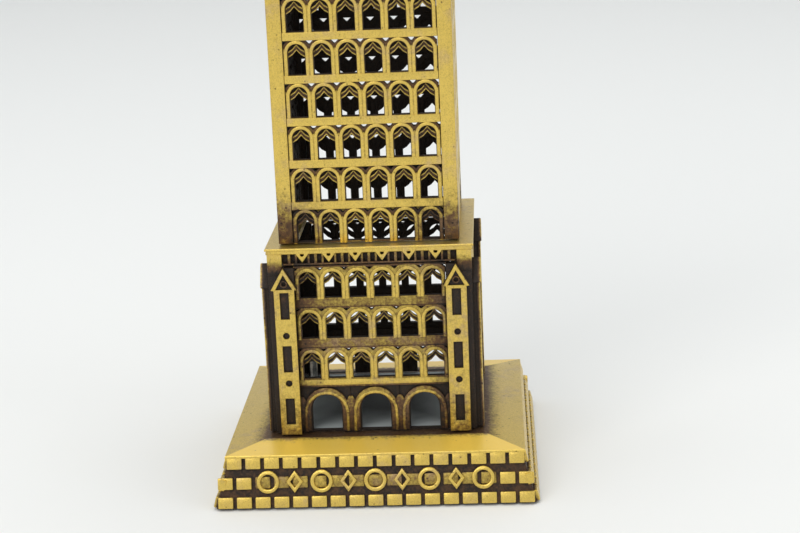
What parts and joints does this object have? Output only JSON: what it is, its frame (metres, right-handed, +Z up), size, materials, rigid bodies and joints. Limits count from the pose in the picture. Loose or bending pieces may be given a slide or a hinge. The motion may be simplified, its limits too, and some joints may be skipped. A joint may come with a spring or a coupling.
{
  "type": "souvenir clock tower figurine",
  "caption": "Hollow square clock-tower figurine in antique brass finish, with pierced arched walls, clock dials and hipped roofs on a brick-coursed base.",
  "frame": {"origin": "centre of the flat face under the foot pad, on the surface that the figurine stands on", "axes": "+Z up along the tower's axis; -Y out of the front wall; +X to the right of someone facing the front wall"},
  "size_m": [0.0518, 0.0518, 0.18],
  "materials": {
    "casting": "antique brass plating on die-cast zinc alloy, satin, dark brown patina in the recesses and worn bright edges",
    "dial": "worn antique brass, satin",
    "screw": "dull zinc-plated steel",
    "felt": "dark green pressed felt"
  },
  "bodies": {
    "root": {"base_skirt": "casting", "block_wall_front": "casting", "block_wall_right": "casting", "block_wall_back": "casting", "block_wall_left": "casting", "shaft_wall_front": "casting", "shaft_wall_right": "casting", "shaft_wall_back": "casting", "shaft_wall_left": "casting", "corbel": "casting", "clock_wall_front": "casting", "clock_wall_right": "casting", "clock_wall_back": "casting", "clock_wall_left": "casting", "gallery": "casting", "pinnacle_1": "casting", "pinnacle_2": "casting", "pinnacle_3": "casting", "pinnacle_4": "casting", "belfry": "casting", "lower_roof": "casting", "lantern": "casting", "spire": "casting", "finial": "casting", "clock_dial_front": "dial", "clock_dial_right": "dial", "clock_dial_back": "dial", "clock_dial_left": "dial", "base_screw_1": "screw", "base_screw_2": "screw", "base_screw_3": "screw", "base_screw_4": "screw", "foot_pad": "felt"}
  },
  "joints": []
}
